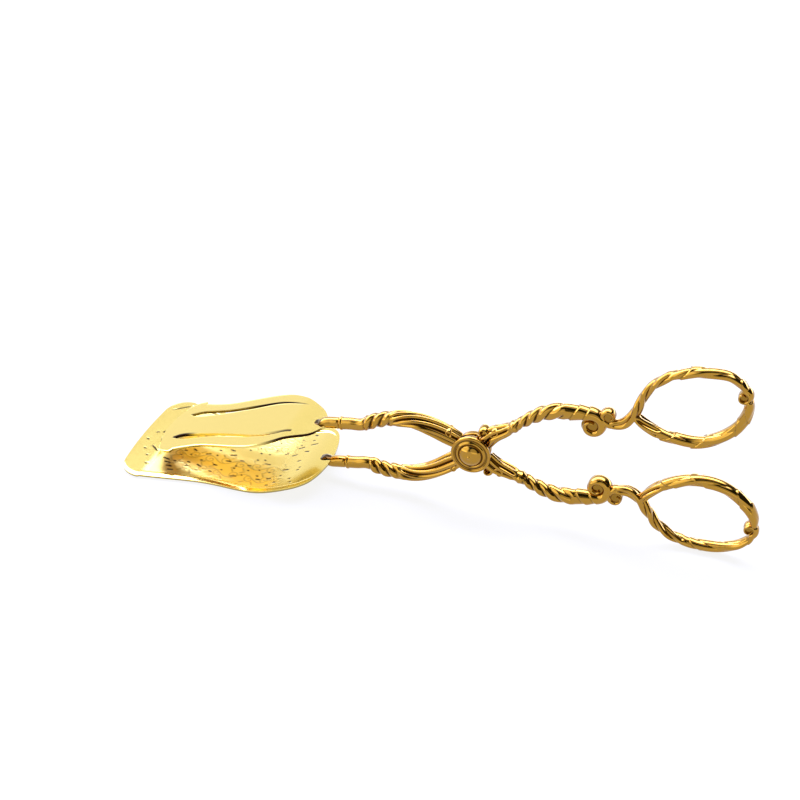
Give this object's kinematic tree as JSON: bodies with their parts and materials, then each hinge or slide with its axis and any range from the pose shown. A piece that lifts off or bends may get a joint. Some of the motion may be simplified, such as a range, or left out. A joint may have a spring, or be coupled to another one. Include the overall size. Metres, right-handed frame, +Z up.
{
  "type": "serving tongs",
  "caption": "Scissor-action serving tongs: scrolled cast arms with finger loops, a ringed pivot cap, a wide rimmed serving plate and a narrower slotted clamping plate.",
  "frame": {"origin": "on the flat underside of the serving plate, which lies on the table", "axes": "+X from the jaws to the handles, +Z up, Y along the pivot pin"},
  "size_m": [0.218, 0.05, 0.0685],
  "materials": {
    "cast_gold": "bright gold-plated casting",
    "sheet_gold": "bright gold-plated pressed sheet",
    "rivet_steel": "plain turned steel"
  },
  "bodies": {
    "serving_half": {"serving_plate": "sheet_gold", "serving_collar": "cast_gold", "rear_arm": "cast_gold", "pivot_pin": "rivet_steel", "medallion_cap": "cast_gold", "pivot_washer": "rivet_steel", "rear_washer": "rivet_steel"},
    "clamping_half": {"slotted_plate": "sheet_gold", "slotted_collar": "cast_gold", "front_arm": "cast_gold"}
  },
  "joints": [
    {"name": "scissor_pivot", "type": "hinge", "parent": "serving_half", "child": "clamping_half", "pos_m": [0.088, 0, 0.02163], "axis": [0, 1, 0], "range_deg": [-1.6, 35]}
  ]
}
